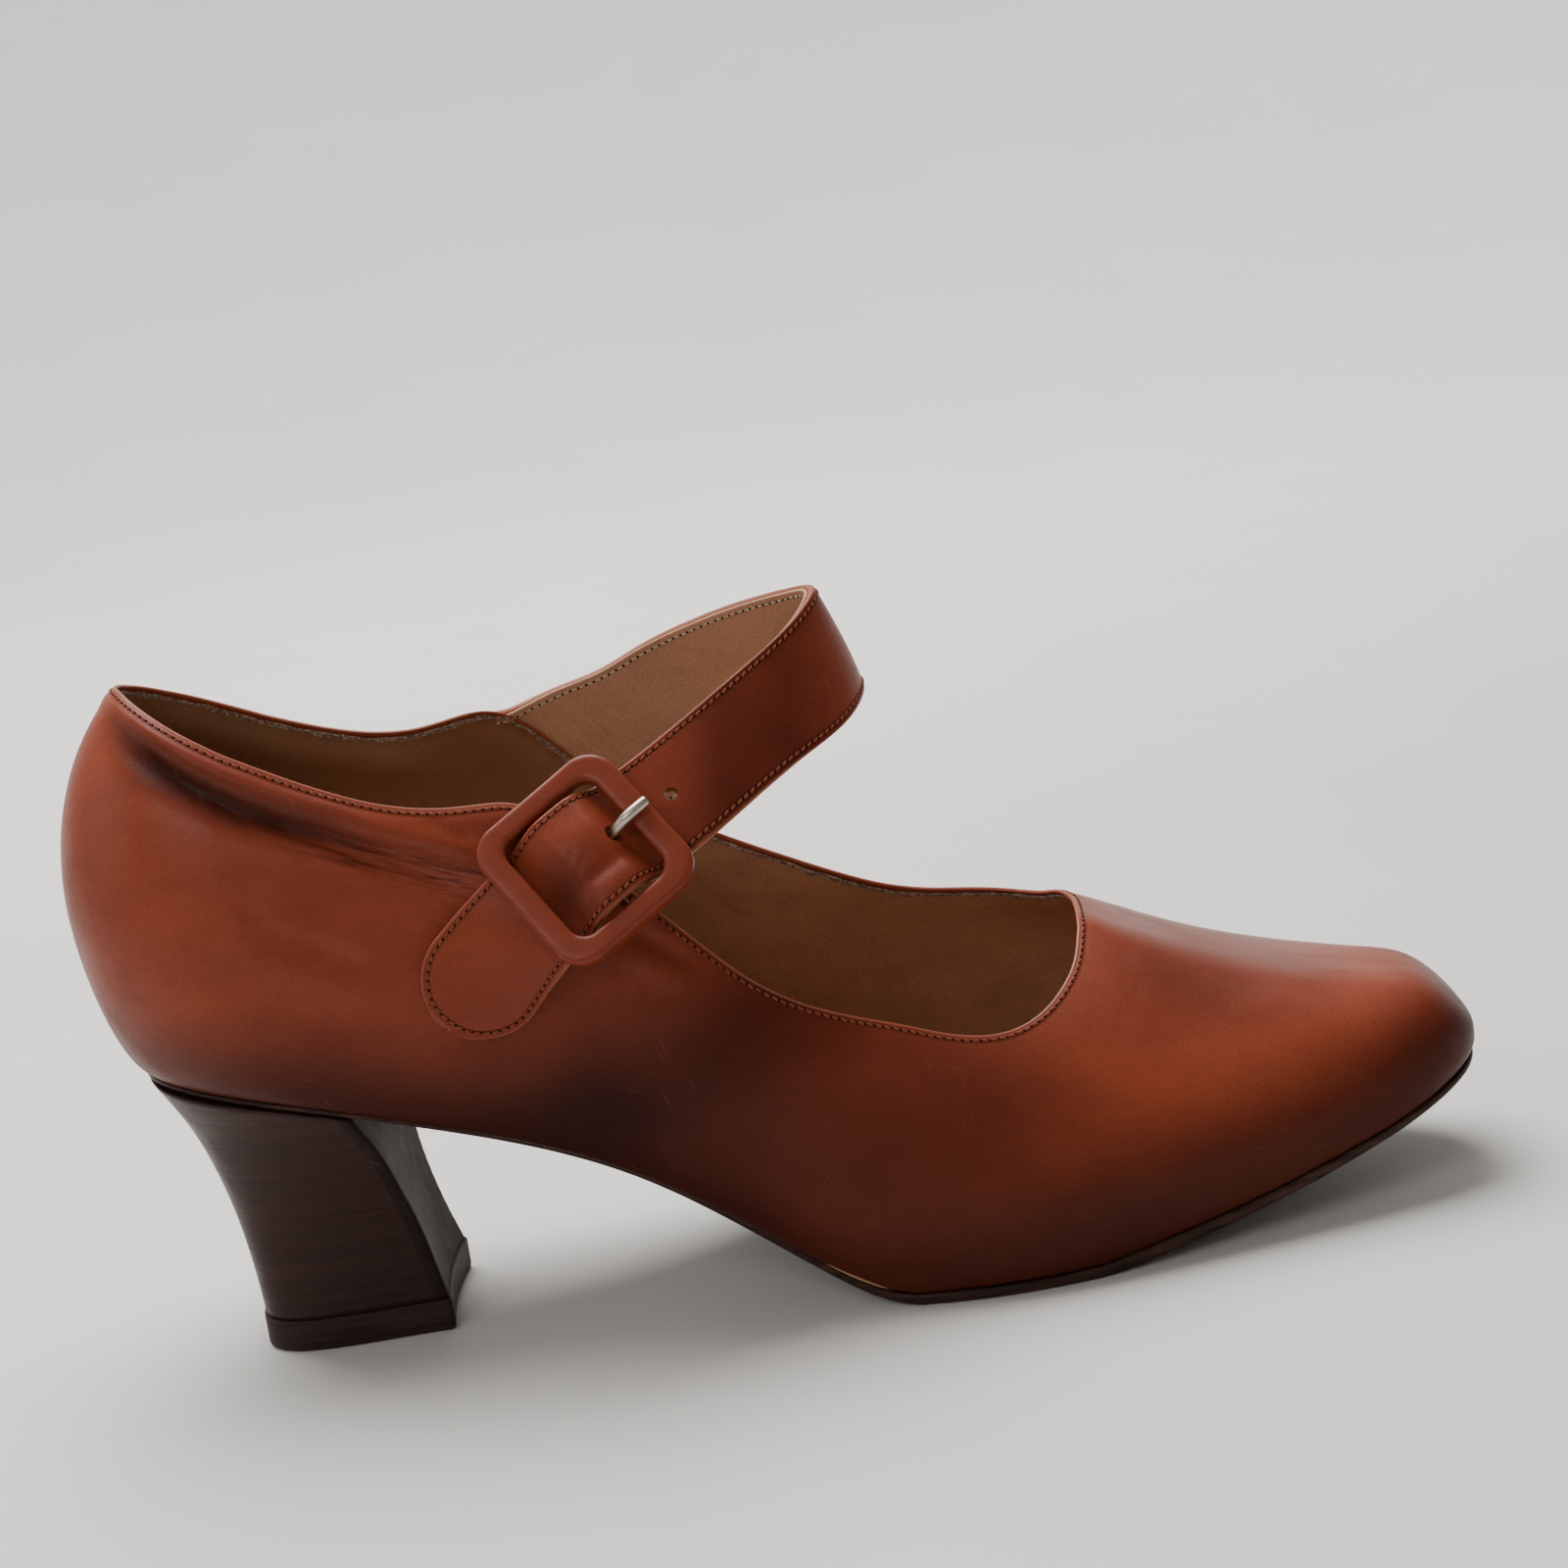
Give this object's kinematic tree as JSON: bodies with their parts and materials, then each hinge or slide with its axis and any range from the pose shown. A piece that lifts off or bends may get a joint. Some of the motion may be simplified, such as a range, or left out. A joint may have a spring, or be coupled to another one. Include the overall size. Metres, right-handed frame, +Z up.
{
  "type": "mary jane pump shoe",
  "caption": "Leather Mary Jane pump with a square toe, a buckled instep strap and a raked block heel, right foot.",
  "frame": {"origin": "on the floor, under the middle of the bounding box", "axes": "+X from the heel to the toe, +Y to the medial side (the left side of this right shoe), +Z up"},
  "size_m": [0.2529, 0.0897, 0.1251],
  "materials": {
    "brown_leather": "smooth polished reddish-brown calf, fine grain",
    "sole_edge": "dark burnished edge",
    "tan_lining": "matt tan lining leather",
    "stacked_heel": "dark stacked block, satin",
    "lift_rubber": "matt dark rubber",
    "buckle_enamel": "smooth leather-coloured enamel",
    "prong_steel": "polished steel, warm tint"
  },
  "bodies": {
    "root": {"upper": "brown_leather", "strap": "brown_leather", "buckle_tab": "brown_leather", "outsole": "sole_edge", "insole": "tan_lining", "heel": "stacked_heel", "top_lift": "lift_rubber", "buckle": "buckle_enamel", "prong": "prong_steel"}
  },
  "joints": []
}
